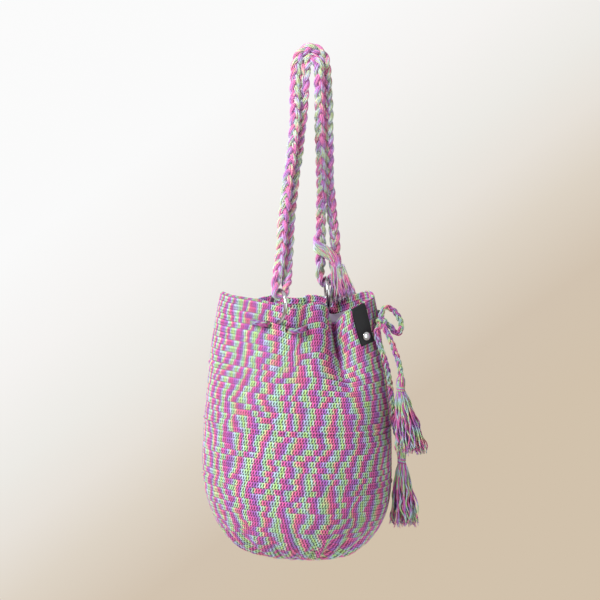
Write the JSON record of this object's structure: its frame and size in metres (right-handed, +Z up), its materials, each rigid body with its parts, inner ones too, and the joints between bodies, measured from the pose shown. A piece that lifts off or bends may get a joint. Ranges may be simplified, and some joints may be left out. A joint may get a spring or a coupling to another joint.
{
  "type": "potli bag",
  "caption": "Crocheted drawstring bucket bag with a gathered mouth, cloth lining, plaited carrying strap on steel rings, tasselled tie cord and a riveted tab.",
  "frame": {"origin": "hanging point, under the inner bend of the plaited strap", "axes": "+Z up along the hanging strap, +X to the right of the bag's front, +Y from the front to the back"},
  "size_m": [0.2909, 0.1858, 0.6619],
  "materials": {
    "crochet": "crocheted multicolour cotton yarn",
    "strap_yarn": "plaited multicolour cotton yarn",
    "cord_yarn": "small plait of multicolour cotton yarn",
    "lining_cloth": "plain woven lavender lining",
    "ring_steel": "bright plated steel",
    "tab": "matt black coated tab, left bare"
  },
  "bodies": {
    "bag": {"drawstring": "cord_yarn", "drawstring_knot": "cord_yarn", "drawstring_bow": "cord_yarn", "drawstring_tail_short": "cord_yarn", "drawstring_tail_long": "cord_yarn", "tassel_short_head": "cord_yarn", "tassel_short_skirt": "cord_yarn", "tassel_long_head": "cord_yarn", "tassel_long_skirt": "cord_yarn", "rivet_cap": "ring_steel", "rivet_back": "ring_steel", "label": "tab", "crochet_body": "crochet", "lining": "lining_cloth", "strap_braid": "strap_yarn", "strap_hitch": "strap_yarn", "strap_knot": "strap_yarn", "strap_fringe": "strap_yarn"},
    "ring_left": {"ring_left": "ring_steel"},
    "ring_right": {"ring_right": "ring_steel"}
  },
  "joints": [
    {"name": "ring_left_spin", "type": "hinge", "parent": "bag", "child": "ring_left", "pos_m": [-0.04242, -0.05412, -0.30392], "axis": [-0.9013, -0.4203, 0.1045], "continuous": true},
    {"name": "ring_right_spin", "type": "hinge", "parent": "bag", "child": "ring_right", "pos_m": [0.01959, 0.03416, -0.29726], "axis": [-0.9951, -0.0696, -0.0698], "continuous": true}
  ]
}
